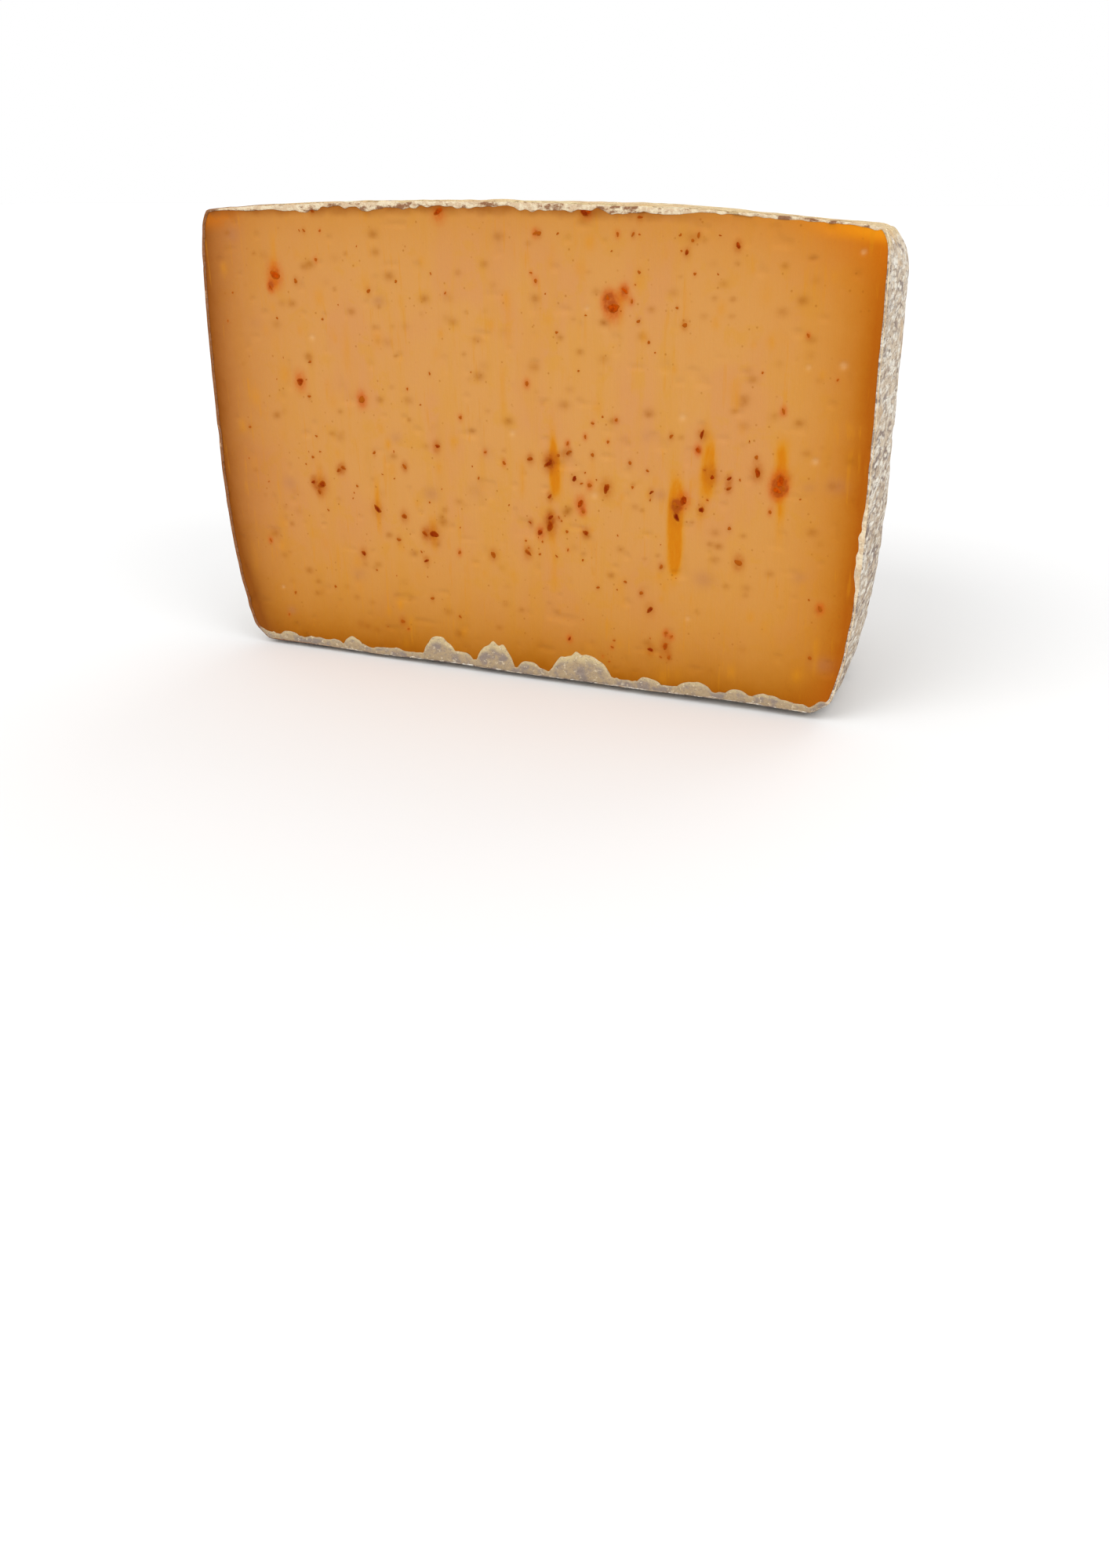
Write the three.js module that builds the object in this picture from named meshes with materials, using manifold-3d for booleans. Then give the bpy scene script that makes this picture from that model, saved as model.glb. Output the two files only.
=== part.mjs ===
// Half of a moulded farmhouse cheese, resting on its flat base with the cut face forward.
// The whole cheese was a rounded square in plan with a low domed top and bulging sides.
// It is one solid: paste and rind grew together, so they aren't separate pieces.
// Millimetres, +Z up. The origin is the middle of the footprint, at the resting surface,
// and the cut face looks along -Y.

import * as THREE from 'three';
import { mergeVertices } from 'three/addons/utils/BufferGeometryUtils.js';
import Module from 'manifold-3d';

// Driving dimensions
const WIDTH = 200;            // across the cut face, at the widest height
const DEPTH = 100;            // cut face to the back of the rind, half of the square plan
const HEIGHT = 132;           // resting surface to the dome, at the middle of the cut face
const DOME_RISE = 3.5;        // top centre above the shoulder
const PLAN_POWER = 3.2;       // plan outline |x/a|^p + |y/a|^p = 1: 2 is round, more is squarer
const HEEL_INSET = 10;        // the side draws in this far down to the base
const HEEL_RISE = 56;         // height at which the heel has run out into the side
const SHOULDER_INSET = 2.5;   // the side draws in this far up to the edge of the dome
const SHOULDER_DROP = 6;      // the shoulder starts this far below the edge of the dome
const LEAN = 0.011;           // share of its height that the piece loses at the +X side
const BACK_FALL = 0.04;       // share of its height that the piece loses at the back
const DRAW_IN = 3.5;          // the -X side draws in this far from the heel up to the lid

// Fineness of the facets
const HEEL_STEPS = 12;
const SHOULDER_STEPS = 8;
const SIDE_STEPS = 3;
const DOME_STEPS = 8;
const ROUND_STEPS = 96;

const HALF_WIDTH = WIDTH / 2;
const SHOULDER_TOP = HEIGHT - DOME_RISE;

// Quarter ellipse between two axis ends, by angle from the first end.
function quarterEllipse(centre, inset, rise, fromAngle, toAngle, steps) {
  const points = [];
  for (let step = 0; step <= steps; step += 1) {
    const angle = THREE.MathUtils.lerp(fromAngle, toAngle, step / steps);
    points.push(new THREE.Vector2(
      centre.x + inset * Math.cos(angle),
      centre.y + rise * Math.sin(angle),
    ));
  }
  return points;
}

// Section of the whole cheese from the axis at the base, out, up the side and back to the axis.
function sideProfile() {
  const heelCentre = new THREE.Vector2(HALF_WIDTH - HEEL_INSET, HEEL_RISE);
  const shoulderCentre = new THREE.Vector2(
    HALF_WIDTH - SHOULDER_INSET,
    SHOULDER_TOP - SHOULDER_DROP,
  );
  const heel = quarterEllipse(
    heelCentre, HEEL_INSET, HEEL_RISE, -Math.PI / 2, 0, HEEL_STEPS,
  );
  const shoulder = quarterEllipse(
    shoulderCentre, SHOULDER_INSET, SHOULDER_DROP, 0, Math.PI / 2, SHOULDER_STEPS,
  );
  const side = [];
  for (let step = 1; step < SIDE_STEPS; step += 1) {
    side.push(new THREE.Vector2().lerpVectors(
      heel[heel.length - 1], shoulder[0], step / SIDE_STEPS,
    ));
  }
  // The dome falls off with the square of the distance from its centre.
  const dome = [];
  const domeRadius = shoulderCentre.x;
  for (let step = DOME_STEPS - 1; step > 0; step -= 1) {
    const share = step / DOME_STEPS;
    dome.push(new THREE.Vector2(domeRadius * share, HEIGHT - DOME_RISE * share * share));
  }
  return [
    new THREE.Vector2(0, 0), ...heel, ...side, ...shoulder, ...dome,
    new THREE.Vector2(0, HEIGHT),
  ];
}

// The turned body, its axis turned from Y to Z. Every vertex is moved along its own radius from
// the circle to the rounded square. The draining cheese settled unevenly, so its height falls
// off evenly from -X to +X and with the square of the way back, and the -X side draws in with
// the square of the way up from the heel.
function wholeCheese() {
  const geometry = new THREE.LatheGeometry(sideProfile(), ROUND_STEPS);
  geometry.rotateX(Math.PI / 2);
  const position = geometry.getAttribute('position');
  for (let index = 0; index < position.count; index += 1) {
    const x = position.getX(index);
    const y = position.getY(index);
    const z = position.getZ(index);
    const radius = Math.hypot(x, y);
    if (radius > 0) {
      const spread = (
        Math.abs(x / radius) ** PLAN_POWER + Math.abs(y / radius) ** PLAN_POWER
      ) ** (-1 / PLAN_POWER);
      const across = x * spread / HALF_WIDTH;
      const back = y * spread / HALF_WIDTH;
      const climb = Math.max(0, (z - HEEL_RISE) / (HEIGHT - HEEL_RISE));
      const drawn = across < 0 ? DRAW_IN * climb ** 2 : 0;
      position.setXYZ(
        index,
        across * (HALF_WIDTH - drawn),
        back * HALF_WIDTH,
        z * (1 - LEAN * across - BACK_FALL * back ** 2),
      );
    }
  }
  return geometry;
}

// A closed geometry with shared vertices becomes a solid that can be cut.
function toSolid(wasm, geometry) {
  geometry.deleteAttribute('normal');
  geometry.deleteAttribute('uv');
  const merged = mergeVertices(geometry, 1e-4);
  return new wasm.Manifold(new wasm.Mesh({
    numProp: 3,
    vertProperties: new Float32Array(merged.getAttribute('position').array),
    triVerts: new Uint32Array(merged.getIndex().array),
  }));
}

function toGeometry(solid) {
  const mesh = solid.getMesh();
  const geometry = new THREE.BufferGeometry();
  geometry.setAttribute('position', new THREE.BufferAttribute(mesh.vertProperties, 3));
  geometry.setIndex(new THREE.BufferAttribute(mesh.triVerts, 1));
  geometry.computeVertexNormals();
  return geometry;
}

const wasm = await Module();
wasm.setup();

// The knife went straight down through the middle. The front half is taken away.
const frontHalf = new THREE.BoxGeometry(2 * WIDTH, WIDTH, 2 * HEIGHT);
frontHalf.translate(0, -WIDTH / 2, HEIGHT / 2);
const halfCheese = toSolid(wasm, wholeCheese()).subtract(toSolid(wasm, frontHalf));

const cheeseMaterial = new THREE.MeshStandardMaterial({
  name: 'cheese', color: 0xd69a55, roughness: 0.55, metalness: 0,
});
const cheeseWedge = new THREE.Mesh(toGeometry(halfCheese), cheeseMaterial);
cheeseWedge.name = 'cheese_wedge';
cheeseWedge.position.set(0, -DEPTH / 2, 0);

const part = new THREE.Group();
part.add(cheeseWedge);

export default part;
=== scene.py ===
"""Half of a farmhouse cheese with crushed chilli in it, resting on its base, cut face forward.

Lengths are millimetres until a mesh or a lamp is made, and angles are degrees.
"""

import itertools
import math

import bpy
import numpy as np
from mathutils import Matrix, Vector


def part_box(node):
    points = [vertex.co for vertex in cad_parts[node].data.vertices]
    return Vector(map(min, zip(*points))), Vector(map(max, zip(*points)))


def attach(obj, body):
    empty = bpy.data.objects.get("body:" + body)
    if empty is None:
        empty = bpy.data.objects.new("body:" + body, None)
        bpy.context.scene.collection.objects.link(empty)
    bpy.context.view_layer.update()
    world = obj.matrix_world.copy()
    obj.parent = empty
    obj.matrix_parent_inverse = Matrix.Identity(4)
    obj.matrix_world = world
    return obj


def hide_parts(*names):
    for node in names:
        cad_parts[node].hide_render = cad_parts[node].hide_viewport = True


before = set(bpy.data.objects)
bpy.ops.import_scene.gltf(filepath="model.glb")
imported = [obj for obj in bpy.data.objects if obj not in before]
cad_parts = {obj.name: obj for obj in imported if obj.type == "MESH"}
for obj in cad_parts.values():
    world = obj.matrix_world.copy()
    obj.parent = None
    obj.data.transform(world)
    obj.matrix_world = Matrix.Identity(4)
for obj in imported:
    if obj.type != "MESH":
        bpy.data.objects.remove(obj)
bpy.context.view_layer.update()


# ------------------------------------------------------------------------------------------
# Rind: the dried, mould-dusted skin of the curd, drawn 0.9 mm thick. The mould gave it
# a rounded square plan and bulging sides, and a low lid that leans and falls to the back. The
# knife took the front away, so the skin is an open shell, and its own rim shows at the cut.
# ------------------------------------------------------------------------------------------

PER_METRE = 1000.0
CAD_LOW, CAD_HIGH = (np.array(corner) * PER_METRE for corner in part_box("cheese_wedge"))
HALF_WIDTH = CAD_HIGH[0]
CUT_Y = CAD_LOW[1]
HEIGHT = round(CAD_HIGH[2])      # at the middle of the cut: the lean lifts one side a little
PLAN_POWER = 3.2
DOME_RISE = 3.5
HEEL_INSET, HEEL_RISE = 10.0, 56.0
SHOULDER_INSET, SHOULDER_DROP = 2.5, 6.0
LEAN = 0.011                     # share of its height lost at the right side
BACK_FALL = 0.04                 # share of its height lost at the back
DRAW_IN = 3.5                    # the left side draws in this far from the heel to the lid
RIM_SETBACK = 0.6                # the shell stops this far behind the front of the box
CORE = np.array([0.0, CUT_Y + RIM_SETBACK, HEIGHT / 2])

RIND_COLUMNS, RIND_ROWS = 560, 140
RIND_LINING_ROWS = 10
RIND_THICKNESS = 0.9


def scatter(cells, seed):
    """A repeatable random number from 0 to 1 for each lattice cell: its three whole numbers
    are multiplied by large primes and mixed bit by bit."""
    mixed = cells[..., 0] * 73856093 ^ cells[..., 1] * 19349663 ^ cells[..., 2] * 83492791
    mixed = (mixed ^ (seed * 2654435761)) & 0xFFFFFFFF
    mixed = ((mixed ^ (mixed >> 15)) * 739982445) & 0xFFFFFFFF
    mixed = ((mixed ^ (mixed >> 12)) * 695872825) & 0xFFFFFFFF
    return (mixed ^ (mixed >> 15)) / 0xFFFFFFFF


def lumps(points, size, seed):
    """Smooth random heights from 0 to 1: random values on a lattice of that spacing, blended
    along each axis with the curve 3t^2 - 2t^3."""
    cells = points / np.asarray(size, float)
    corner = np.floor(cells).astype(np.int64)
    share = cells - corner
    share = share * share * (3 - 2 * share)
    height = np.zeros(points.shape[:-1])
    for step in itertools.product((0, 1), repeat=3):
        weight = np.prod(np.where(step, share, 1 - share), axis=-1)
        height += weight * scatter(corner + np.array(step), seed)
    return height


def ease(value, low, high):
    """0 up to low, 1 from high, and the curve 3t^2 - 2t^3 between them."""
    share = np.clip((value - low) / (high - low), 0, 1)
    return share * share * (3 - 2 * share)


def wall_radius(height):
    """Plan radius of the side at a height: a quarter ellipse in the heel, straight up the
    middle, and a quarter ellipse in the shoulder."""
    below = np.clip((HEEL_RISE - height) / HEEL_RISE, 0, 1)
    shoulder_start = HEIGHT - DOME_RISE - SHOULDER_DROP
    above = np.clip((height - shoulder_start) / SHOULDER_DROP, 0, 1)
    heel = HEEL_INSET * (1 - np.sqrt(1 - below ** 2))
    shoulder = SHOULDER_INSET * (1 - np.sqrt(1 - above ** 2))
    return HALF_WIDTH - heel - shoulder


def lid_height(radius):
    """Height of the domed lid at a plan radius: it falls with the square of the radius."""
    return HEIGHT - DOME_RISE * (radius / (HALF_WIDTH - SHOULDER_INSET)) ** 2


def upright(points):
    """Heights with the lean to the right and the fall to the back taken off."""
    across, back = points[..., 0] / HALF_WIDTH, (points[..., 1] - CUT_Y) / HALF_WIDTH
    return points[..., 2] / (1 - LEAN * across - BACK_FALL * back ** 2)


def drawn_in(across, height):
    """How far the left side has drawn in: it grows with the square of the way up."""
    climb = np.clip((height - HEEL_RISE) / (HEIGHT - HEEL_RISE), 0, 1)
    return np.where(across < 0, DRAW_IN * climb ** 2, 0)


def plan_radius(points):
    """Radius of the rounded square through each point, its left side's draw-in taken off: the
    p-th root of |x|^p + |y|^p, with y counted from the cut."""
    drawn = drawn_in(points[..., 0], upright(points))
    across = np.abs(points[..., 0]) * HALF_WIDTH / (HALF_WIDTH - drawn)
    back = np.abs(points[..., 1] - CUT_Y)
    return (across ** PLAN_POWER + back ** PLAN_POWER) ** (1 / PLAN_POWER)


def ideal_reach(directions):
    """Distance from the core to the smooth skin along each direction, by halving: a point is
    inside when it is above the base, within the wall's radius and under the lid."""
    near = np.zeros(directions.shape[:-1])
    far = near + 2 * HALF_WIDTH
    for _ in range(34):
        middle = (near + far) / 2
        points = CORE + directions * middle[..., None]
        height, radius = upright(points), plan_radius(points)
        inside = (height > 0) & (radius < wall_radius(height)) & (height < lid_height(radius))
        near = np.where(inside, middle, near)
        far = np.where(inside, far, middle)
    return near


def skin_relief(points):
    """How far the real skin lies inside the smooth one: broad dents, press wrinkles that run
    level, knobbly curd and small pits. The knife has smoothed the cut rim, the upper corners
    are worn, and the base is pressed nearly flat, but its rim has curled up, most at the right."""
    dents = 0.35 * lumps(points, 34, 1) + 0.24 * lumps(points, 13, 2)
    wrinkles = 0.20 * lumps(points, (22, 22, 4), 3)
    curd = 0.30 * lumps(points, 5.2, 4) + 0.42 * lumps(points, (4.2, 4.2, 2.8), 5)
    pits = 0.45 * ease(lumps(points, 4.4, 6), 0.66, 0.92)
    x, depth, z = points[..., 0], points[..., 1] - CUT_Y, points[..., 2]
    flattened = (0.25 + 0.75 * ease(z, 1.5, 9.0)) * (0.45 + 0.55 * ease(depth, 0, 9))
    lift = 1.2 + 1.4 * ease(x, 35, 75) + 0.7 * lumps(points, 24, 7)
    curl = lift * np.exp(-depth / 6) * (1 - ease(z, 0.5, 6.0))
    sunk = 2.2 * ease(x, 30, 85) * ease(depth, 1, 30) * ease(z, 114, 125)
    corner = ease(np.abs(x), 86, 99) * ease(z, 117, 129) * (0.5 + 0.5 * ease(depth, 0, 8))
    return flattened * (dents + wrinkles + curd + pits) + curl + sunk + 1.5 * corner


def skin_points(directions, depth=0.0):
    """Points of the real skin along directions from the core, or that far beneath it."""
    reach = ideal_reach(directions)
    ideal = CORE + directions * reach[..., None]
    return CORE + directions * (reach - skin_relief(ideal) - depth)[..., None]


def section_directions(count):
    """Directions in the cut plane that meet the skin at even spacing, counter-clockwise from
    the middle of the base as seen from the front."""
    angle = np.linspace(-math.pi / 2, 1.5 * math.pi, 8001)
    directions = np.stack([np.cos(angle), 0 * angle, np.sin(angle)], -1)
    points = directions * ideal_reach(directions)[..., None]
    steps = np.linalg.norm(np.diff(points, axis=0), axis=1)
    travelled = np.concatenate([[0], np.cumsum(steps)])
    wanted = np.linspace(0, travelled[-1], count, endpoint=False)
    even = np.interp(wanted, travelled, angle)
    return np.stack([np.cos(even), 0 * even, np.sin(even)], -1)


def swing_back(directions, angles):
    """Turns each direction of the cut plane towards the back by each angle, as rows."""
    flat = np.cos(angles)[:, None, None] * directions
    back = np.sin(angles)[:, None, None] * np.array([0.0, 1.0, 0.0])
    return flat + back


def ring_quads(rings):
    """Quads between neighbouring rows of point numbers, each row closed into a ring."""
    here, there = rings[:-1], rings[1:]
    sides = [here, np.roll(here, -1, 1), np.roll(there, -1, 1), there]
    return np.stack(sides, -1).reshape(-1, 4)


def fan(ring, tip):
    """Triangles that close a ring of point numbers onto one point."""
    return np.stack([ring, np.roll(ring, -1), np.full_like(ring, tip)], -1)


def make_piece(name, points, quads, triangles, fields):
    """A smooth mesh from points in millimetres. The volume that its faces enclose has to be
    positive, so they are turned over when it isn't. Fields are one number for each point."""
    halves = np.concatenate([quads[:, [0, 1, 2]], quads[:, [0, 2, 3]], triangles])
    corners = points[halves]
    volume = np.einsum("ij,ij->i", corners[:, 0], np.cross(corners[:, 1], corners[:, 2]))
    if volume.sum() < 0:
        quads, triangles = quads[:, ::-1], triangles[:, ::-1]
    mesh = bpy.data.meshes.new(name)
    mesh.from_pydata((points / PER_METRE).tolist(), [], quads.tolist() + triangles.tolist())
    mesh.polygons.foreach_set("use_smooth", np.ones(len(mesh.polygons), bool))
    for field, values in fields.items():
        layer = mesh.attributes.new(field, "FLOAT", "POINT")
        layer.data.foreach_set("value", np.asarray(values, np.float32).ravel())
    mesh.update()
    piece = bpy.data.objects.new(name, mesh)
    bpy.context.scene.collection.objects.link(piece)
    return piece


def make_rind():
    """The shell as one tube of rings, closed at both ends: from the middle of the back forward
    to the rim, over it, and back along the lining."""
    flat = section_directions(RIND_COLUMNS)
    outward = 90 * (1 - np.linspace(0, 1, RIND_ROWS + 1)[1:]) ** 1.15
    inward = np.linspace(0, 90, RIND_LINING_ROWS + 1)[:-1]
    skin = skin_points(swing_back(flat, np.radians(outward)))
    lining = skin_points(swing_back(flat, np.radians(inward)), RIND_THICKNESS)
    straight_back = np.array([[0.0, 1.0, 0.0]])
    tips = [skin_points(straight_back), skin_points(straight_back, RIND_THICKNESS)]
    rings = np.concatenate([skin, lining])
    points = np.concatenate([rings.reshape(-1, 3), *tips])
    numbers = np.arange(rings.shape[0] * RIND_COLUMNS).reshape(-1, RIND_COLUMNS)
    ends = [fan(numbers[0], len(points) - 2), fan(numbers[-1], len(points) - 1)]
    height = upright(points)
    fields = {
        "lid": ease(height - lid_height(plan_radius(points)), -9, 0),
        # low is 1 at the base and fades upwards: the sides darken with it as painted shade.
        "low": np.exp(-points[:, 2] / 45),
        # rim: the cut rim up the left side, painted brown, partly as shade.
        "rim": np.exp((CUT_Y + RIM_SETBACK - points[:, 1]) / 0.8) * ease(-points[:, 0], 60, 90),
    }
    return make_piece("rind", points, ring_quads(numbers), np.concatenate(ends), fields)


class Wire:
    """One output in a material's nodes. Arithmetic on it adds Math nodes."""

    def __init__(self, tree, socket=None):
        self.tree = tree
        self.socket = socket

    def node(self, kind, settings, sockets, output=0):
        """Adds a node: first its settings by name, then a value or a wire for each socket, by
        its name or number."""
        made = self.tree.nodes.new(kind)
        for name, value in settings.items():
            setattr(made, name, value)
        for name, value in sockets.items():
            if isinstance(value, Wire):
                self.tree.links.new(value.socket, made.inputs[name])
            else:
                made.inputs[name].default_value = value
        return Wire(self.tree, made.outputs[output])

    def math(self, operation, first, second=0.0):
        return self.node("ShaderNodeMath", {"operation": operation}, {0: first, 1: second})

    def __add__(self, other):
        return self.math("ADD", self, other)

    def __sub__(self, other):
        return self.math("SUBTRACT", self, other)

    def __rsub__(self, other):
        return self.math("SUBTRACT", other, self)

    def __mul__(self, other):
        return self.math("MULTIPLY", self, other)

    __radd__ = __add__
    __rmul__ = __mul__


STUDIO_GAIN = 1.33               # the studio shows a surface this much brighter than its colour


def paint(red, green, blue):
    """A colour given as it looks in the studio, 0 to 255 on a screen, as the share of light
    that the surface gives back: ((c + 0.055) / 1.055)^2.4, less what the studio adds."""
    shares = np.array([red, green, blue]) / 255
    light = np.where(shares <= 0.04045, shares / 12.92, ((shares + 0.055) / 1.055) ** 2.4)
    return (*(light / STUDIO_GAIN).tolist(), 1.0)


def blend(first, second, share):
    """Colour mix: the first where share is 0, the second where it is 1."""
    mix = {"data_type": "RGBA", "clamp_factor": True}
    return share.node("ShaderNodeMix", mix, {0: share, 6: first, 7: second}, output=2)


def between(value, low, high):
    """0 up to low, 1 from high, and smooth between them. It falls where low is above high."""
    limits = {"Value": value, "From Min": low, "From Max": high}
    return value.node("ShaderNodeMapRange", {"interpolation_type": "SMOOTHSTEP"}, limits)


def stretched(place, stretch):
    """Coordinates for a pattern drawn out by these factors along x, y and z."""
    shrink = [1 / factor for factor in stretch]
    return place.node("ShaderNodeMapping", {}, {"Vector": place, "Scale": shrink})


def mottle(place, size, detail=2.0, roughness=0.5, distortion=0.0):
    """Cloudy noise, about 0.3 to 0.7, whose blotches are that many millimetres wide."""
    sockets = {"Vector": place, "Scale": PER_METRE / size, "Detail": detail,
               "Roughness": roughness, "Distortion": distortion}
    return place.node("ShaderNodeTexNoise", {}, sockets)


def grains(place, size, randomness=1.0):
    """Distance to the nearest of scattered points that are about that many millimetres apart,
    as a share of their spacing: 0 at a grain's middle."""
    sockets = {"Vector": place, "Scale": PER_METRE / size, "Randomness": randomness}
    return place.node("ShaderNodeTexVoronoi", {}, sockets)


def start_finish(name):
    """A new material: gives it, its shader node and a wire of the piece's own coordinates."""
    material = bpy.data.materials.new(name)
    material.use_nodes = True
    shader = material.node_tree.nodes["Principled BSDF"]
    place = Wire(material.node_tree).node("ShaderNodeTexCoord", {}, {}, output="Object")
    return material, shader, place


def field(place, name):
    """The numbers that a piece keeps for its points under this name."""
    return place.node("ShaderNodeAttribute", {"attribute_name": name}, {}, output="Fac")


def connect(shader, **wires):
    """Joins wires to the shader's sockets. An underscore in a name stands for a space."""
    for name, wire in wires.items():
        socket = shader.inputs[name.replace("_", " ")]
        wire.tree.links.new(wire.socket, socket)


def bumps(height, depth):
    """Shading relief from a 0 to 1 height, for a real depth in millimetres."""
    sockets = {"Height": height, "Strength": 1.0, "Distance": depth / PER_METRE}
    return height.node("ShaderNodeBump", {}, sockets)


def falloff(distance, reach):
    """1 where a distance is 0, fading to 0.37 at the reach, as e^(-distance / reach)."""
    return distance.math("EXPONENT", distance * (-1 / reach))


def wander(place, size, reach):
    """A random sideways step for coordinates, up to that many metres each way."""
    noise = place.node("ShaderNodeTexNoise", {}, {
        "Vector": place, "Scale": PER_METRE / size, "Detail": 3.0}, output="Color")
    centred = place.node("ShaderNodeVectorMath", {"operation": "SUBTRACT"}, {
        0: noise, 1: (0.5, 0.5, 0.5)})
    return place.node("ShaderNodeVectorMath", {"operation": "SCALE"}, {
        0: centred, "Scale": 2 * reach})


def lid_colour(place):
    """The lid: straw curd skin with peach patches, level cream flecks and olive creases, dark
    specks in clusters, a few round white blooms and a few bare tan patches."""
    straw, peach, butter = paint(230, 202, 154), paint(228, 192, 146), paint(251, 232, 184)
    olive, umber = paint(188, 158, 110), paint(138, 108, 76)
    bloom, tan = paint(250, 240, 206), paint(222, 168, 96)
    colour = blend(straw, peach, between(mottle(place, 24, 4, 0.6, 0.4), 0.46, 0.62))
    flecks = mottle(stretched(place, (2.6, 1.2, 1.2)), 2.6, 4, 0.68)
    colour = blend(colour, butter, between(flecks, 0.50, 0.66) * 0.85)
    creases = mottle(stretched(place, (4.0, 1.0, 1.0)), 1.5, 4, 0.7, 0.3)
    colour = blend(colour, olive, between(creases, 0.51, 0.63) * 0.75)
    patches = between(mottle(place, 15, 3, 0.6), 0.50, 0.62)
    specks = between(mottle(stretched(place, (1.7, 1.0, 1.0)), 0.9, 3, 0.7), 0.53, 0.62)
    colour = blend(colour, umber, specks * (0.15 + patches * 0.55))
    blooms = between(mottle(place, 17, 4, 0.7, 0.6), 0.60, 0.70)
    colour = blend(colour, bloom, blooms * 0.85)
    return blend(colour, tan, between(mottle(place, 27, 3, 0.5, 0.3), 0.64, 0.70) * 0.8)


def side_colour(place, grain, low):
    """The sides: chalky cream grains of mould with grey and lilac hollows between them, greyer in
    patches and darker towards the base as painted shade, with brown specks and a few tan
    patches where the mould rubbed off."""
    cream, chalk = paint(226, 208, 184), paint(254, 248, 234)
    dusky_tone_and_shade, lilac, umber = paint(206, 186, 162), paint(140, 122, 114), paint(118, 90, 72)
    # Greyer cream in random patches, and more of it towards the base as painted shade.
    colour = blend(cream, dusky_tone_and_shade, between(mottle(place, 14, 4, 0.6, 0.3) + low * 0.5, 0.44, 0.68))
    level = stretched(place, (1.2, 3.2, 1.0))
    colour = blend(colour, chalk, between(mottle(level, 1.9, 4, 0.7), 0.46, 0.60) * 0.9)
    hollows = between(grain, 0.36, 0.64) * between(mottle(level, 2.6, 4, 0.65), 0.42, 0.58)
    dusty = between(mottle(place, 12, 4, 0.6, 0.5), 0.62, 0.42) * 0.55 + 0.25
    # The lilac hollows deepen towards the base as painted shade.
    colour = blend(colour, lilac, hollows * (dusty + low * 0.45))
    colour = blend(colour, umber, between(mottle(level, 0.9, 2, 0.6), 0.59, 0.67) * 0.6)
    rubbed = between(mottle(place, 19, 4, 0.6, 0.4), 0.60, 0.68)
    return blend(colour, paint(222, 188, 146), rubbed * 0.6)


def rind_finish():
    """Dry curd skin. Round the lid's edge its two colours run into each other, and the cut rim
    is brown up the left side, partly painted shade."""
    soot, toasted_and_shade = paint(96, 76, 60), paint(150, 88, 40)
    material, shader, place = start_finish("rind_skin")
    lid, low = field(place, "lid"), field(place, "low")
    grain = grains(stretched(place, (1.3, 3.0, 1.0)), 1.4)
    ragged = between(lid + (mottle(place, 5, 5, 0.7) - 0.5) * 1.9, 0.20, 0.90)
    colour = blend(side_colour(place, grain, low), lid_colour(place), ragged)

    strayed = place.node("ShaderNodeVectorMath", {"operation": "ADD"}, {
        0: place, 1: wander(place, 9, 0.006)})
    edges = place.node("ShaderNodeTexVoronoi", {"feature": "DISTANCE_TO_EDGE"}, {
        "Vector": strayed, "Scale": PER_METRE / 42})
    cracks = between(edges, 0.016, 0.004) * between(mottle(place, 24), 0.56, 0.64)
    colour = blend(colour, soot, cracks * 0.4)
    # Brown on the cut rim up the left side, partly painted shade.
    colour = blend(colour, toasted_and_shade, field(place, "rim") * 0.9)

    relief = mottle(place, 2.4, 5, 0.66) * 0.8 - between(grain, 0.34, 0.66) * 0.30
    relief = relief - cracks * 0.5
    roughness = 0.80 + mottle(place, 4) * 0.16
    connect(shader, Base_Color=colour, Roughness=roughness, Normal=bumps(relief, 0.9))
    shader.inputs["Specular IOR Level"].default_value = 0.15
    return material


rind = make_rind()
rind.data.materials.append(rind_finish())
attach(rind, "root")
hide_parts("cheese_wedge")


# ------------------------------------------------------------------------------------------
# Chilli in the curd: crushed dried flakes that were stirred into the milk, so they lie in
# loose clumps, large ones bared by the knife and fine ones between. They are set out here
# because the paste below takes their stain.
# ------------------------------------------------------------------------------------------

FACE_LOW, FACE_HIGH = np.array([-92.0, 6.0]), np.array([95.0, 124.0])
# Clumps: shares of the face across and up, flakes, redness and oil.
CLUMPS = np.array([
    (0.75, 0.40, 3, 0.05, 1.10), (0.80, 0.50, 5, 0.45, 0.70), (0.90, 0.50, 2, 0.75, 0.75),
    (0.65, 0.85, 3, 0.70, 0.35), (0.55, 0.35, 8, 0.45, 0.35), (0.55, 0.50, 4, 0.30, 0.70),
    (0.35, 0.30, 4, 0.35, 0.30), (0.25, 0.35, 1, 0.15, 0.40), (0.15, 0.40, 4, 0.35, 0.40),
    (0.10, 0.90, 2, 0.75, 0.40),
])
CLUMP_SPREAD = 5.5
LONE_FLAKES, LID_FLAKES, FINE_FLAKES = 14, 5, 170
rng = np.random.default_rng(41)


def clump_middles():
    """Middle of each clump on the face: its low corner plus the shares of its width and
    height."""
    return FACE_LOW + CLUMPS[:, :2] * (FACE_HIGH - FACE_LOW)


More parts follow.
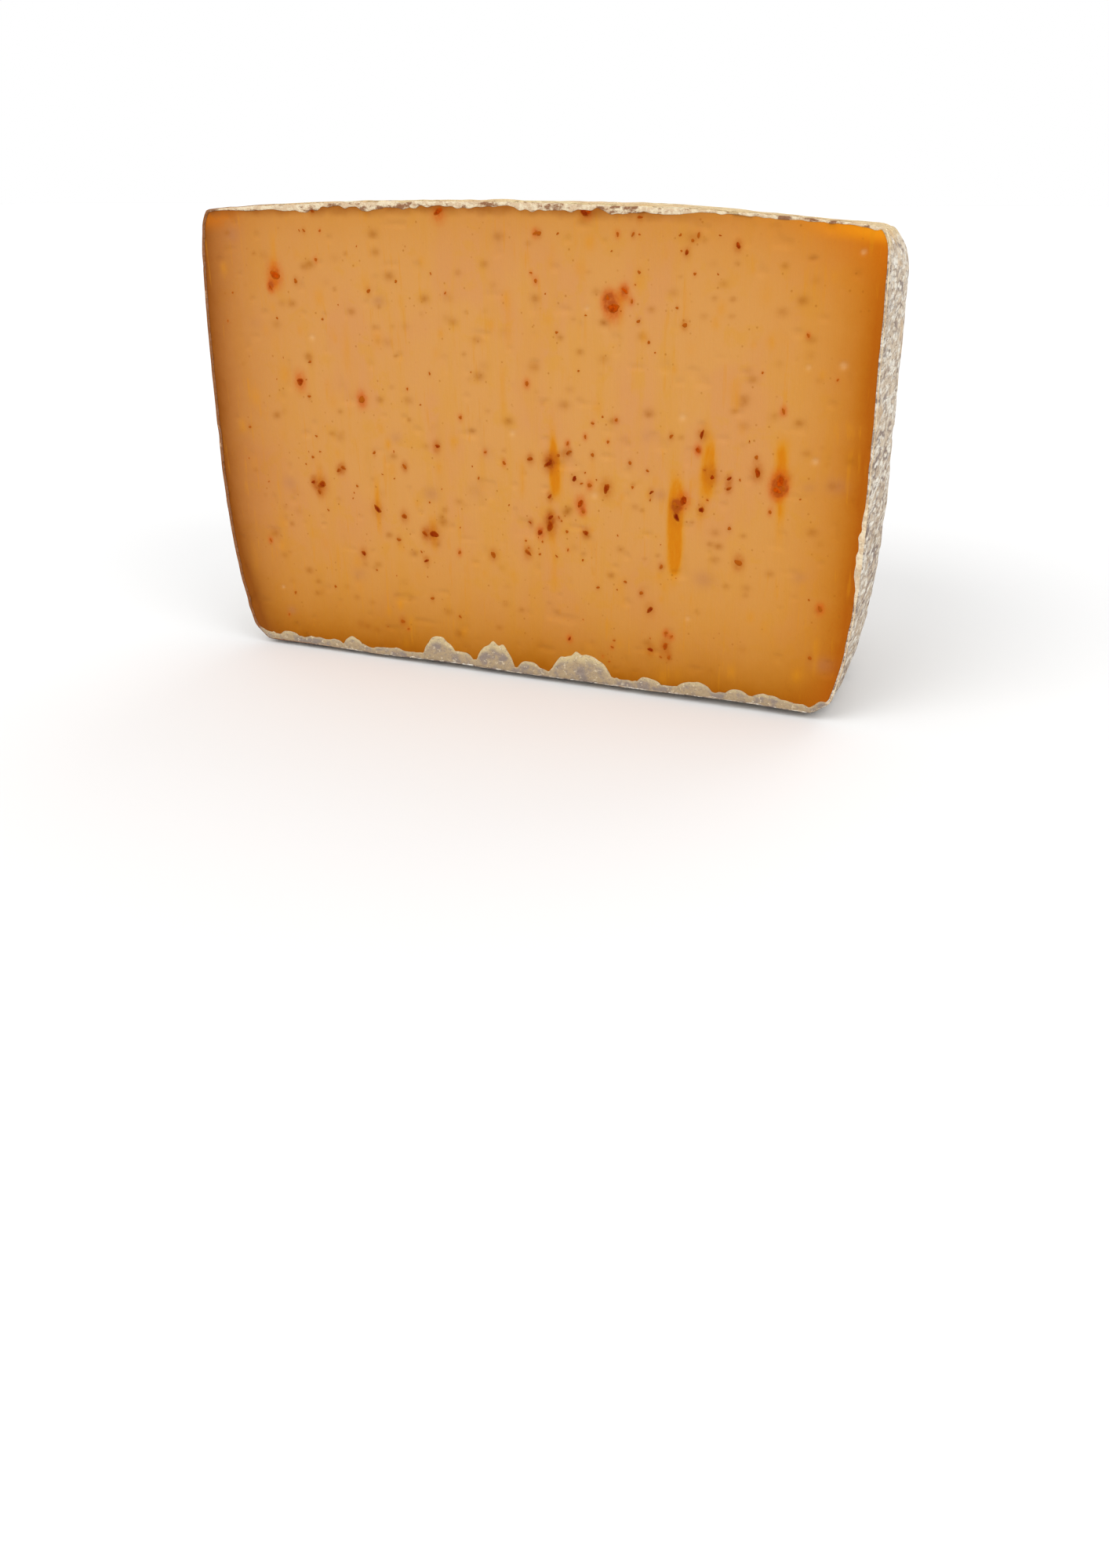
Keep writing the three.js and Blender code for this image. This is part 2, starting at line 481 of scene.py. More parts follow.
def scatter_bared_flakes():
    """The larger flakes: across, up, length, width, lean and redness. Each clump has a large
    one at its middle and others round it. The rest lie alone, or close under the lid."""
    owner = np.repeat(np.arange(len(CLUMPS)), CLUMPS[:, 2].astype(int))
    leads = np.append(True, owner[1:] != owner[:-1])
    strayed = rng.normal(0, CLUMP_SPREAD, (len(owner), 2)) * ~leads[:, None]
    alone = rng.uniform(FACE_LOW, FACE_HIGH, (LONE_FLAKES, 2))
    across = rng.uniform(-86, 58, LID_FLAKES)
    under_lid = lid_height(np.abs(across)) * (1 - LEAN * across / HALF_WIDTH)
    under_lid -= rng.uniform(2.2, 3.4, LID_FLAKES)
    place = np.concatenate([
        clump_middles()[owner] + strayed, alone, np.column_stack([across, under_lid])])

    count = len(place)
    length = np.clip(1.4 + rng.gamma(2.0, 0.30, count), 0, 3.2)
    length[:len(owner)][leads] = rng.uniform(2.6, 3.7, len(CLUMPS))
    width = length * rng.uniform(0.42, 0.78, count)
    lean = rng.uniform(-80, 85, count)
    redness = rng.uniform(0.05, 0.60, count)
    redness[:len(owner)] = CLUMPS[owner, 3] + rng.normal(0, 0.12, len(owner)) * ~leads
    return np.column_stack([place, length, width, lean, np.clip(redness, 0, 0.85)])


BARED_FLAKES = scatter_bared_flakes()


def scatter_fine_flakes():
    """Fine flakes at random over the face. Half of them keep near a bared flake, since dried
    chilli breaks up where it lies."""
    near = BARED_FLAKES[rng.integers(len(BARED_FLAKES), size=FINE_FLAKES), :2]
    near = near + rng.normal(0, 7, (FINE_FLAKES, 2))
    anywhere = rng.uniform(FACE_LOW, FACE_HIGH, (FINE_FLAKES, 2))
    place = np.where(rng.random((FINE_FLAKES, 1)) < 0.5, near, anywhere)
    place = np.clip(place, FACE_LOW, FACE_HIGH)
    length = 0.45 + rng.gamma(2.0, 0.24, FINE_FLAKES)
    width = length * rng.uniform(0.45, 0.95, FINE_FLAKES)
    lean = rng.uniform(-90, 90, FINE_FLAKES)
    redness = rng.uniform(0.1, 0.8, FINE_FLAKES)
    return np.column_stack([place, length, width, lean, redness])


FLAKES = np.concatenate([BARED_FLAKES, scatter_fine_flakes()])


def scatter_marks(count, width, strength):
    """Round marks at random over the face: across, up, width and strength, each of the last
    two between its two limits."""
    place = rng.uniform(FACE_LOW, FACE_HIGH, (count, 2))
    return np.column_stack([place, rng.uniform(*width, count), rng.uniform(*strength, count)])


# Crumbs too deep to see as flakes, and flakes just under the face, which show violet-grey.
BROWN_CRUMBS, GOLD_CRUMBS = 210, 90
CRUMB_WIDTH, CRUMB_STRENGTH = (1.2, 3.4), (0.15, 0.75)
FAINT_BROWN = scatter_marks(BROWN_CRUMBS, CRUMB_WIDTH, CRUMB_STRENGTH)
FAINT_GOLD = scatter_marks(GOLD_CRUMBS, CRUMB_WIDTH, CRUMB_STRENGTH)
BURIED_FLAKES = scatter_marks(18, (3.0, 6.5), (0.20, 0.60))


# ------------------------------------------------------------------------------------------
# Paste: the firm orange curd inside the rind. The face is one straight knife cut: the blade
# left fine upright drag lines, small nicks and pits, and drew the chilli oil out in streaks.
# The paste dries darker towards the rind, and the brown up its left side is partly painted
# shade. Behind the face it fills the shell.
# ------------------------------------------------------------------------------------------

PASTE_RECESS = 0.75              # the face lies this far behind the front of the box
PASTE_EDGE = 0.25                # its edge on the face is this far inside the skin
PASTE_DEPTH = 1.7                # behind the face it keeps this far beneath the skin
FACE_COLUMNS, FACE_ROWS = 340, 222
HIDDEN_ROWS = 8

STRANDS, LOOSE_STREAKS = 3, 16
# Drops of oil, and nicks where the blade lifted a crumb.
OIL_DROPS = scatter_marks(24, (2.6, 3.8), (0.30, 0.60))
NICKS = scatter_marks(11, (1.0, 1.8), (0.25, 0.40))


def scatter_oil_streaks():
    """Streaks that the blade drew: across, lowest, highest, width and strength. Each clump
    feeds a few strands, longer and broader the more oil it has. The rest are at random."""
    across, up = np.repeat(clump_middles(), STRANDS, 0).T
    oil = np.repeat(CLUMPS[:, 4], STRANDS)
    across = across + rng.normal(0, 0.4 + 1.3 * oil)
    below, above = rng.uniform(0.2, 1.4, (2, len(oil))) * (3 + 13 * oil)
    fed = [across, up - below, up + above, 1.2 + 1.7 * oil, 0.75 * oil]
    across, middle = rng.uniform(FACE_LOW, FACE_HIGH - 6, (LOOSE_STREAKS, 2)).T
    half = rng.uniform(4, 11, LOOSE_STREAKS)
    loose = [across, middle - half, middle + half, rng.uniform(1.8, 3.0, LOOSE_STREAKS),
             rng.uniform(0.25, 0.50, LOOSE_STREAKS)]
    return np.column_stack([np.concatenate(pair) for pair in zip(fed, loose)])


OIL_STREAKS = scatter_oil_streaks()


def spots(x, z, marks, stretch_z=1.0):
    """Sum of soft round spots, each exp(-distance^2 / width^2) times its strength."""
    total = np.zeros(x.shape)
    for across, up, width, strength in marks:
        distance = (x - across) ** 2 + ((z - up) / stretch_z) ** 2
        total += strength * np.exp(-distance / (width / 2) ** 2)
    return total


def face_depth(x, z):
    """How far the face lies behind the front of the box: the blade's slow waves, its upright
    drag lines, pits where curd didn't knit, and the nicks, each with a lifted lip above."""
    place = np.stack([x, 0 * x, z], -1)
    waves = 0.34 * (lumps(place, (75, 1, 48), 21) - 0.5)
    drag = 0.10 * (lumps(place, (7.0, 1, 95), 22) - 0.5)
    drag += 0.055 * (lumps(place, (1.9, 1, 40), 23) - 0.5)
    pits = 0.30 * ease(lumps(place, 3.4, 24), 0.80, 0.96)
    lips = [(across, up + 0.9 * width, 0.8 * width, 0.35 * depth)
            for across, up, width, depth in NICKS]
    return PASTE_RECESS + waves + drag + pits + spots(x, z, NICKS) - spots(x, z, lips)


def lid_band(x):
    """Width of the rind that shows along the top of the face: broad as far as the right
    flank, thinner beyond, and worn down at the left corner."""
    return (1.7 - 0.9 * ease(x, 34, 60)) * (1 - 0.6 * ease(-x, 70, 88))


def flake_stain(x, z, flakes):
    """Stain round each flake: a soft spot a little wider than the flake, drawn out upright by
    the blade."""
    stain = np.zeros(x.shape)
    for across, up, length, width, lean, redness in flakes:
        spread = 0.68 * (length + width)
        distance = ((x - across) / spread) ** 2 + ((z - up) / (1.4 * spread)) ** 2
        stain += (0.45 + 0.6 * redness) * min(1.0, length / 1.6) * np.exp(-1.8 * distance)
    return np.clip(stain, 0, 1)


def oil_shine(x, z):
    """Oil on the face: upright streaks, soft at the sides and ends and slightly bent, and
    small drops drawn out a little."""
    shine = spots(x, z, OIL_DROPS, 1.5)
    for across, low, high, width, strength in OIL_STREAKS:
        bent = across + 0.15 * np.sin(z / 7 + across)
        fade = 0.3 * (high - low)
        ends = ease(z, low - fade, low + fade) * (1 - ease(z, high - fade, high + fade))
        shine += strength * ends * np.exp(-((x - bent) / (0.6 * width)) ** 2)
    return np.clip(shine, 0, 1)


def face_grid():
    """The face as a square grid of rays, stretched onto the cut section: a point at u, v goes
    the share max(|u|, |v|) of the way from the core to the skin in its own direction."""
    u = np.linspace(-1, 1, FACE_COLUMNS)[None, :] + np.zeros((FACE_ROWS, 1))
    v = np.linspace(-1, 1, FACE_ROWS)[:, None] + np.zeros((1, FACE_COLUMNS))
    share = np.maximum(np.abs(u), np.abs(v))
    directions = np.stack([u * HALF_WIDTH, 0 * u, v * HEIGHT / 2], -1)
    directions /= np.linalg.norm(directions, axis=-1, keepdims=True)
    edge = skin_points(directions, PASTE_EDGE)
    points = CORE + (edge - CORE) * share[..., None]
    points[..., 1] = CUT_Y + face_depth(points[..., 0], points[..., 2])
    return points


def make_paste():
    """The face grid, whose border runs on as rings behind the rind and closes at the back."""
    face = face_grid()
    numbers = np.arange(FACE_ROWS * FACE_COLUMNS).reshape(FACE_ROWS, FACE_COLUMNS)
    corners = [numbers[:-1, :-1], numbers[:-1, 1:], numbers[1:, 1:], numbers[1:, :-1]]
    face_quads = np.stack(corners, -1).reshape(-1, 4)
    border = np.concatenate([
        numbers[0, :-1], numbers[:-1, -1], numbers[-1, :0:-1], numbers[:0:-1, 0]])

    flat = face.reshape(-1, 3)[border] - CORE
    flat[:, 1] = 0
    flat /= np.linalg.norm(flat, axis=1, keepdims=True)
    angles = np.radians(np.linspace(0.6, 90, HIDDEN_ROWS + 1)[:-1])
    hidden = skin_points(swing_back(flat, angles), PASTE_DEPTH)
    tip = skin_points(np.array([[0.0, 1.0, 0.0]]), PASTE_DEPTH)
    points = np.concatenate([face.reshape(-1, 3), hidden.reshape(-1, 3), tip])
    rings = numbers.size + np.arange(hidden.shape[0] * len(border)).reshape(-1, len(border))
    rings = np.concatenate([border[None], rings])
    quads = np.concatenate([face_quads, ring_quads(rings)[:, ::-1]])
    triangles = fan(rings[-1], len(points) - 1)[:, ::-1]

    x, z = points[:, 0], points[:, 2]
    from_lid = lid_height(np.abs(x)) * (1 - LEAN * x / HALF_WIDTH) - z
    fields = {
        "from_left": np.clip(x + wall_radius(z) - drawn_in(x, z), 0, None),
        "from_right": np.clip(wall_radius(z) - x, 0, None),
        "from_base": z,
        "from_lid": np.clip(from_lid, 0, None),
        "from_band": from_lid - lid_band(x),
        "oil": oil_shine(x, z),
        "stain": flake_stain(x, z, FLAKES[FLAKES[:, 5] < 0.55]),
        "rust": flake_stain(x, z, FLAKES[FLAKES[:, 5] >= 0.55]),
        "smudge": np.clip(spots(x, z, BURIED_FLAKES, 0.8), 0, 1),
        "brown": np.clip(spots(x, z, FAINT_BROWN, 0.75), 0, 1),
        "gold": np.clip(spots(x, z, FAINT_GOLD, 1.6), 0, 1),
        "nick": np.clip(spots(x, z, NICKS) * 2, 0, 1),
    }
    return make_piece("paste", points, quads, triangles, fields)


def paste_edges(place, colour):
    """The paste dries from the rind inwards: each edge goes first to honey or tan, then within
    a few millimetres to amber, deep orange or brown, and the top right corner is brightest.
    The tan and brown up the left side are partly painted shade, most towards the base."""
    honey, tan = paint(214, 142, 36), paint(194, 119, 52)
    amber, rust, sienna_and_shade = paint(172, 98, 0), paint(180, 94, 0), paint(146, 78, 8)
    bronze, marigold, flame = paint(206, 136, 48), paint(212, 114, 0), paint(242, 148, 10)
    left, right, base, lid = (
        field(place, "from_" + edge) for edge in ("left", "right", "base", "lid"))
    cloud = mottle(place, 13, 4, 0.65)
    ragged = 0.70 + cloud * 0.60

    colour = blend(colour, bronze, falloff(lid, 9) * ragged * 0.9)
    # Tan up the left side: drier paste, and partly painted shade.
    colour = blend(colour, tan, falloff(left, 18) * ragged)
    colour = blend(colour, honey, falloff(right, 13) * ragged * 1.35)
    colour = blend(colour, honey, falloff(base, 20) * ragged * 1.15)
    colour = blend(colour, amber, falloff(base - 4, 9) * ragged)
    colour = blend(colour, rust, falloff(right - 2.5, 6.5) * ragged)
    # Brown up the left side, deeper towards the base: drier paste, and partly painted shade.
    deeper = 1 + falloff(base, 35) * 1.1
    colour = blend(colour, sienna_and_shade, falloff(left - 1, 5.5) * deeper * ragged * 0.95)
    colour = blend(colour, marigold, falloff(lid, 10) * falloff(right, 17) * 1.7)
    colour = blend(colour, flame, between(lid, 5.5, 2.0) * between(right, 26, 3))
    gilded = between(lid, 8, 2) * between(left, 16, 5) * between(cloud, 0.38, 0.55)
    return blend(colour, marigold, gilded * 0.75)


def paste_finish():
    """Waxy orange curd in soft rosy and golden clouds, freckled with fine chilli, and brown in
    a line along the band of rind at the top."""
    heart, rosy, golden = paint(219, 156, 84), paint(216, 148, 92), paint(218, 154, 64)
    violet, oil_gold, ember = paint(178, 116, 82), paint(220, 142, 10), paint(212, 112, 0)
    rusty, chilli, pale = paint(206, 94, 12), paint(158, 58, 0), paint(244, 196, 138)
    walnut, hazel, seam = paint(188, 98, 14), paint(174, 100, 12), paint(154, 82, 14)
    material, shader, place = start_finish("chilli_paste")

    blush = between(mottle(stretched(place, (1, 1, 1.6)), 18, 3), 0.46, 0.62)
    colour = blend(heart, rosy, blush * 0.5)
    bands = mottle(stretched(place, (1, 1, 6)), 7, 4, 0.6, 0.4)
    colour = blend(colour, golden, between(bands, 0.46, 0.66) * 0.5)
    clouds = mottle(place, 8, 4, 0.6, 0.3)
    colour = blend(colour, golden, between(clouds, 0.52, 0.68) * 0.6)
    colour = paste_edges(place, colour)

    drawn = mottle(stretched(place, (1, 1, 14)), 1.6, 3, 0.6)
    threads = between(drawn, 0.56, 0.68) * between(mottle(place, 11, 2), 0.46, 0.58)
    colour = blend(colour, oil_gold, threads * 0.30)
    colour = blend(colour, violet, field(place, "smudge") * 0.75)
    breaking = 0.55 + mottle(place, 1.2, 3, 0.6) * 0.9
    colour = blend(colour, oil_gold, field(place, "gold") * breaking * 0.60)
    colour = blend(colour, hazel, field(place, "brown") * breaking * 0.85)
    patchy = mottle(stretched(place, (1, 1, 2.5)), 2.2, 3, 0.6)
    oil = field(place, "oil") * (drawn * 0.6 + patchy + 0.1)
    colour = blend(colour, oil_gold, between(oil, 0.0, 1.0))
    colour = blend(colour, ember, between(oil, 0.50, 1.10) * 0.55)
    stain, rust = field(place, "stain") * breaking, field(place, "rust") * breaking
    colour = blend(colour, walnut, between(stain, 0.0, 0.90) * 0.80)
    colour = blend(colour, rusty, between(rust, 0.0, 0.90) * 0.80)
    colour = blend(colour, chilli, between(stain + rust, 0.65, 1.10) * 0.60)
    freckles = between(grains(place, 2.6), 0.17, 0.05) * between(mottle(place, 8), 0.44, 0.60)
    colour = blend(colour, hazel, freckles * 0.55)
    colour = blend(colour, pale, field(place, "nick") * breaking * 0.55)
    under_band = between(field(place, "from_band") + mottle(place, 5, 3) * 3.0, 4.6, 1.2)
    colour = blend(colour, seam, under_band * between(field(place, "from_right"), 30, 70) * 0.8)

    relief = drawn * 0.6 + mottle(place, 0.9, 3, 0.6) * 0.25 + (stain + rust) * 0.3
    roughness = 0.50 - oil * 0.14 + clouds * 0.10
    connect(shader, Base_Color=colour, Roughness=roughness, Normal=bumps(relief, 0.22))
    shader.inputs["Specular IOR Level"].default_value = 0.08
    shader.inputs["Subsurface Weight"].default_value = 0.06
    shader.inputs["Subsurface Radius"].default_value = (1.0, 0.45, 0.15)
    shader.inputs["Subsurface Scale"].default_value = 0.003
    return material


paste = make_paste()
paste.data.materials.append(paste_finish())
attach(paste, "root")
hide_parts("cheese_wedge")


# ------------------------------------------------------------------------------------------
# Chilli flakes: chips of dried pepper skin, cut through by the knife, so each shows as a low
# scale that stands a hair proud of the paste. They are held by the curd, which films them over.
# ------------------------------------------------------------------------------------------

FLAKE_SPOKES = 12
FLAKE_PROUD = 0.07               # how far a flake's middle stands out of the face
FLAKE_SUNK = 0.5                 # and how far its back lies beneath it


def make_flakes():
    """Each flake is a stack of rings on one outline, r = 1 + a few cosines of 2, 3 and 5 times
    the angle, scaled to its length and width, turned to its lean and set into the face."""
    count = len(FLAKES)
    across, up, length, width, lean, redness = FLAKES.T
    angle = np.linspace(0, 2 * math.pi, FLAKE_SPOKES, endpoint=False)
    outline = np.ones((count, FLAKE_SPOKES))
    for waves, size in ((2, 0.12), (3, 0.16), (5, 0.10)):
        phase = rng.uniform(0, 2 * math.pi, (count, 1))
        outline += size * rng.uniform(0.3, 1.0, (count, 1)) * np.cos(waves * angle + phase)
    ring_size = np.array([0.5, 0.85, 1.0, 0.7])[None, :, None]
    ring_out = np.array([0.85, 0.5, -0.1, -2.6])[None, :, None]
    along = outline[:, None] * ring_size * np.cos(angle) * length[:, None, None] / 2
    beside = outline[:, None] * ring_size * np.sin(angle) * width[:, None, None] / 2
    turn = np.radians(lean)[:, None, None]
    x = across[:, None, None] + along * np.cos(turn) - beside * np.sin(turn)
    z = up[:, None, None] + along * np.sin(turn) + beside * np.cos(turn)
    proud = FLAKE_PROUD * np.minimum(1, length / 1.6)
    y = CUT_Y + face_depth(across, up)[:, None, None] - ring_out * proud[:, None, None] + 0 * x
    front = np.stack([across, y[:, 0, 0] - 0.15 * proud, up], -1)[:, None]
    back = np.stack([across, CUT_Y + face_depth(across, up) + FLAKE_SUNK, up], -1)[:, None]
    rings = np.stack([x, y, z], -1)
    block = np.concatenate([rings.reshape(count, -1, 3), front, back], 1)

    first = np.arange(count)[:, None] * block.shape[1]
    numbers = np.arange(4 * FLAKE_SPOKES).reshape(4, FLAKE_SPOKES)
    quads = (first[..., None] + ring_quads(numbers)[None]).reshape(-1, 4)
    ends = np.concatenate([
        fan(numbers[0], 4 * FLAKE_SPOKES)[:, ::-1], fan(numbers[-1], 4 * FLAKE_SPOKES + 1)])
    triangles = (first[..., None] + ends[None]).reshape(-1, 3)
    bared = np.arange(count) < len(BARED_FLAKES)
    veil = np.where(bared, 0.05, 0.6) + np.where(bared, 0.6, 0.7) * rng.uniform(0, 1, count)
    veil = veil * np.clip(1.6 / length, 0.25, 1)
    filmed = np.concatenate([np.repeat([0.0, 0.55, 1.0, 1.0], FLAKE_SPOKES), [0.0, 0.0]])
    fields = {"redness": np.repeat(redness, block.shape[1]),
              "veil": (veil[:, None] + 0.65 * filmed).ravel()}
    return make_piece("chilli_flakes", block.reshape(-1, 3), quads, triangles, fields)


def flake_finish():
    """Dried pepper skin, from dark brown to brick red and blotched. A rusty film of paste
    creeps in over its border, and over some flakes altogether."""
    dark, brick, bright = paint(122, 24, 0), paint(150, 50, 0), paint(206, 80, 0)
    film = paint(182, 92, 14)
    material, shader, place = start_finish("chilli_skin")
    redness = field(place, "redness") + (mottle(place, 0.8, 3, 0.6) - 0.5)
    colour = blend(dark, brick, between(redness, 0.0, 0.45))
    colour = blend(colour, bright, between(redness, 0.45, 0.95))
    smears = field(place, "veil") + (mottle(place, 0.7, 3, 0.6) - 0.5)
    colour = blend(colour, film, between(smears, 0.10, 0.80) * 0.95)
    roughness = 0.48 + mottle(place, 0.6) * 0.2
    connect(shader, Base_Color=colour, Roughness=roughness,
            Normal=bumps(mottle(place, 0.5, 3), 0.15))
    shader.inputs["Specular IOR Level"].default_value = 0.02
    return material


chilli_flakes = make_flakes()
chilli_flakes.data.materials.append(flake_finish())
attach(chilli_flakes, "root")
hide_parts("cheese_wedge")


# ------------------------------------------------------------------------------------------
# Rind edge: the border of the rind on the cut face. It is a thin pale line up the sides, a
# wavy crumbling band under the lid, and at the base a grey mould crust that has crept up
# over the paste in round lobes. It is all one skin, pressed onto the face.
# ------------------------------------------------------------------------------------------

EDGE_COLUMNS, EDGE_SPOKES = 1700, 16
# The tall lobes of the mould crust: share across, half width and height.
TALL_LOBES = np.array([(0.35, 6.0, 7.5), (0.45, 6.5, 8.5), (0.60, 10.0, 8.5)])
SMALL_LOBES = 14


def scatter_lobes():
    """Lobes along the base: middle, half width and height. The small ones stand at uneven
    steps from corner to corner, with the tall ones among them."""
    tall = TALL_LOBES * (FACE_HIGH[0] - FACE_LOW[0], 1, 1) + (FACE_LOW[0], 0, 0)
    middle = np.linspace(-80, 78, SMALL_LOBES) + rng.uniform(-4, 4, SMALL_LOBES)
    half = rng.uniform(3.2, 6.0, SMALL_LOBES)
    return np.concatenate([
        tall, np.column_stack([middle, half, rng.uniform(2.2, 4.4, SMALL_LOBES)])])


LOBES = scatter_lobes()


def lobe_height(x):
    """Height of the crust along the base: an uneven strip, with each lobe a rounded hump,
    (1 - |t|^2.3)^(1 / 1.8) over its half width."""
    place = np.stack([x, 0 * x, 0 * x], -1)
    height = 1.3 + 1.0 * lumps(place, 3.2, 41) + 0.6 * lumps(place, 1.2, 42)
    for middle, half, tall in LOBES:
        share = np.clip(np.abs(x - middle) / half, 0, 1)
        hump = (1 - share ** 2.3) ** (1 / 1.8)
        ragged = 1 + 0.16 * (lumps(place, 1.7, 43) - 0.5)
        height = np.maximum(height, tall * hump * ragged)
    return height


def edge_width(points, level):
    """Width of the border: the lobes on the base, the wavy band under the lid, and a thin line
    up the sides, wider where the right side has flaked."""
    x, z = points[:, 0], points[:, 2]
    along = np.stack([x, 0 * x, z], -1)
    waver = 0.55 + 0.7 * lumps(along, 6.0, 44) + 0.5 * (lumps(along, 1.8, 45) - 0.3)
    flaked = 0.35 + 1.3 * np.exp(-((z - 49) / 12) ** 2)
    side = np.where(x > 0, flaked, 0.4)
    on_base, on_lid = ease(-level, 0.55, 0.98), ease(level, 0.75, 0.97)
    across_top = lid_band(x) * on_lid + side * (1 - on_base - on_lid)
    return lobe_height(x) * on_base + across_top * waver


def make_rind_edge():
    """A flat rounded bead carried round the cut section: at each point an oval, as wide as the
    border is there, from the skin inwards, and thickest over the lobes."""
    flat = section_directions(EDGE_COLUMNS)
    path = skin_points(flat, 0.12)
    ahead = np.roll(path, -6, 0) - np.roll(path, 6, 0)
    ahead /= np.linalg.norm(ahead, axis=1, keepdims=True)
    outward = np.stack([ahead[:, 2], 0 * ahead[:, 0], -ahead[:, 0]], -1)
    width = edge_width(path, outward[:, 2])
    crust = ease(width, 1.6, 6.0) * ease(-outward[:, 2], 0.3, 0.7)
    place = path * (1, 0, 1)
    thick = 0.16 + 0.30 * crust + 0.12 * lumps(place, 2.4, 46)
    turn = np.linspace(0, 2 * math.pi, EDGE_SPOKES, endpoint=False)[:, None]
    squared = np.sign(np.cos(turn)) * np.abs(np.cos(turn)) ** 0.8
    inward = (1 - squared) / 2 * width
    out = np.sign(np.sin(turn)) * np.abs(np.sin(turn)) ** 0.7 * thick
    rings = path - outward * inward[..., None]
    rough = lumps(rings * (1, 0, 1), 1.5, 47) + 0.6 * lumps(rings * (1, 0, 1), 4.0, 48)
    out = out - 0.10 * rough * (out > 0) * (0.4 + crust)
    rings[..., 1] = CUT_Y + PASTE_RECESS - out - 0.02
    numbers = np.arange(EDGE_SPOKES * EDGE_COLUMNS).reshape(EDGE_SPOKES, EDGE_COLUMNS)
    closed = np.concatenate([numbers, numbers[:1]])
    none = np.zeros((0, 3), np.int64)
    fields = {
        "crust": np.broadcast_to(crust, inward.shape),
        "across": np.broadcast_to((1 - squared) / 2, inward.shape),
        "lid": np.broadcast_to(ease(outward[:, 2], 0.5, 0.9), inward.shape),
        "left": np.broadcast_to(ease(-outward[:, 0], 0.3, 0.8), inward.shape),
        "base": np.broadcast_to(ease(-outward[:, 2], 0.5, 0.9), inward.shape),
    }
    return make_piece("rind_edge", rings.reshape(-1, 3), ring_quads(closed), none, fields)


def rind_edge_finish():
    """Cream skin with brown breaks on top and on the right, brown up the left that is partly
    painted shade, and along the base grey-beige mould, whose lobes have paler rims."""
    cream, butter, brown = paint(228, 200, 164), paint(248, 230, 196), paint(142, 88, 52)
    toasted_and_shade, chip = paint(152, 88, 30), paint(222, 168, 118)
    stone, ash, ivory = paint(190, 166, 132), paint(158, 142, 130), paint(218, 196, 150)
    material, shader, place = start_finish("cut_rind")
    across, crust, lid, left, base = (
        field(place, name) for name in ("across", "crust", "lid", "left", "base"))
    colour = blend(cream, butter, between(mottle(place, 2.2, 4, 0.7), 0.44, 0.58))
    breaks = between(mottle(stretched(place, (1.8, 1, 1)), 2.4, 4, 0.65), 0.50, 0.62)
    colour = blend(colour, brown, breaks * (0.30 + lid * 0.60))
    # Brown up the left side, partly painted shade.
    bark_and_shade = blend(toasted_and_shade, chip, between(mottle(place, 5, 3, 0.6), 0.62, 0.68))
    colour = blend(colour, bark_and_shade, left * 0.95)

    mould = blend(stone, ash, between(mottle(place, 4.5, 4, 0.6), 0.44, 0.60))
    rims = between(across, 0.60, 0.90) * (0.35 + crust * 0.65)
    mould = blend(mould, ivory, rims)
    mould = blend(mould, ash, between(mottle(place, 0.9, 3, 0.7), 0.52, 0.64) * 0.6)
    mould = blend(mould, butter, between(mottle(place, 1.6, 3, 0.7), 0.58, 0.66) * 0.6)
    colour = blend(colour, mould, between(base, 0.15, 0.75))
    relief = mottle(place, 1.3, 4, 0.65)
    roughness = 0.80 + mottle(place, 3) * 0.12
    connect(shader, Base_Color=colour, Roughness=roughness, Normal=bumps(relief, 0.6))
    shader.inputs["Specular IOR Level"].default_value = 0.15
    return material


rind_edge = make_rind_edge()
rind_edge.data.materials.append(rind_edge_finish())
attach(rind_edge, "root")
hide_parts("cheese_wedge")


# ------------------------------------------------------------------------------------------
# Studio: a pale floor, soft white light all round, a broad key light from above on the left, a
# weaker one from the right and one from behind, and the camera a forearm from the cheese.
# ------------------------------------------------------------------------------------------

FLOOR_SIZE = 6.0                 # metres
FLOOR_DROP = 0.0004
FLOOR_TONE = (0.73, 0.73, 0.73)
SKY_LIGHT = 1.0
LAMP_SPREAD = 40                 # degrees across
CAMERA_PLACE = (0.1569, -0.3875, 0.1451)
CAMERA_TURN, CAMERA_DOWN, CAMERA_TILT = 23.33, 25.94, -0.85
FOCAL_LENGTH, FILM_HEIGHT = 30.28, 36.0


